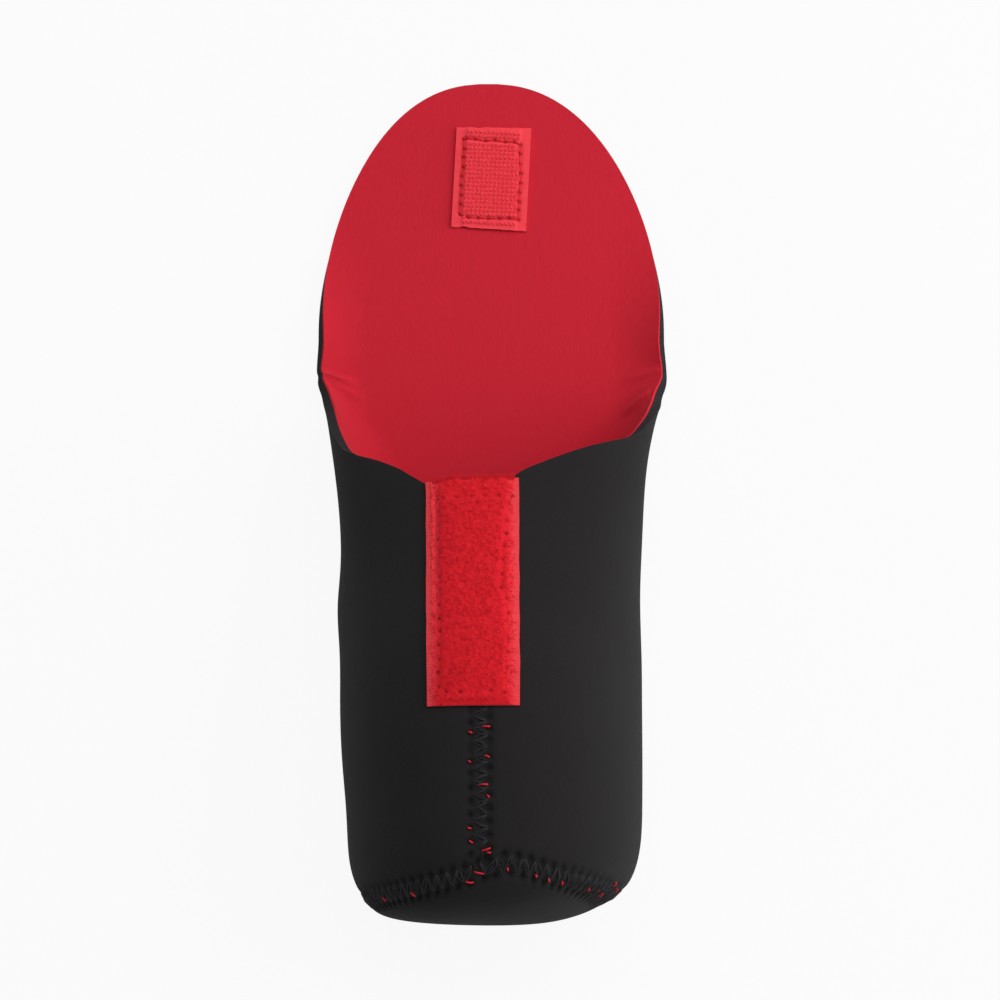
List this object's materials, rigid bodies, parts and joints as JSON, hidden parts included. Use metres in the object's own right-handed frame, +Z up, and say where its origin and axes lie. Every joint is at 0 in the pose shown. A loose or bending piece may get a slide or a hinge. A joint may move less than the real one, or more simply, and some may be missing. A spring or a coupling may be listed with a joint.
{
  "type": "lens pouch",
  "caption": "Soft foam-laminate pouch with a rounded base, lying open on its back, with a long round-ended flap that folds over the mouth and grips a hook-and-loop strip on the front.",
  "frame": {"origin": "on the resting plane, under the middle of the open pouch's bounding box", "axes": "+X across the pouch, +Y from the closed base to the tip of the flap, +Z up from the back to the front"},
  "size_m": [0.1044, 0.2536, 0.0714],
  "materials": {
    "black_jersey": "matte knit",
    "foam": "matte closed-cell foam",
    "red_jersey": "soft knit",
    "tape_weave": "woven nylon",
    "loop_pile": "brushed loops",
    "hook_yarn": "stiff nylon hooks",
    "red_thread": "twisted thread",
    "black_thread": "twisted thread"
  },
  "bodies": {
    "pouch": {"body_outer_jersey": "black_jersey", "body_foam_core": "foam", "body_lining": "red_jersey", "base_outer_jersey": "black_jersey", "base_foam_core": "foam", "base_lining": "red_jersey", "loop_tape_ground": "tape_weave", "loop_tape_pile": "loop_pile", "loop_tape_stitching": "red_thread", "front_seam_thread": "black_thread", "base_seam_thread": "black_thread"},
    "flap": {"flap_outer_jersey": "black_jersey", "flap_foam_core": "foam", "flap_lining": "red_jersey"},
    "flap_tip": {"flap_tip_outer_jersey": "black_jersey", "flap_tip_foam_core": "foam", "flap_tip_lining": "red_jersey", "hook_tape_ground": "tape_weave", "hook_tape_hooks": "hook_yarn", "hook_tape_stitching": "red_thread"}
  },
  "joints": [
    {"name": "flap_fold", "type": "hinge", "parent": "pouch", "child": "flap", "pos_m": [0, 0.0232, 0.0033], "axis": [1, 0, 0], "range_deg": [0, 113.6]},
    {"name": "flap_tip_fold", "type": "hinge", "parent": "flap", "child": "flap_tip", "pos_m": [0, 0.0782, 0.0033], "axis": [1, 0, 0], "range_deg": [0, 47]}
  ]
}
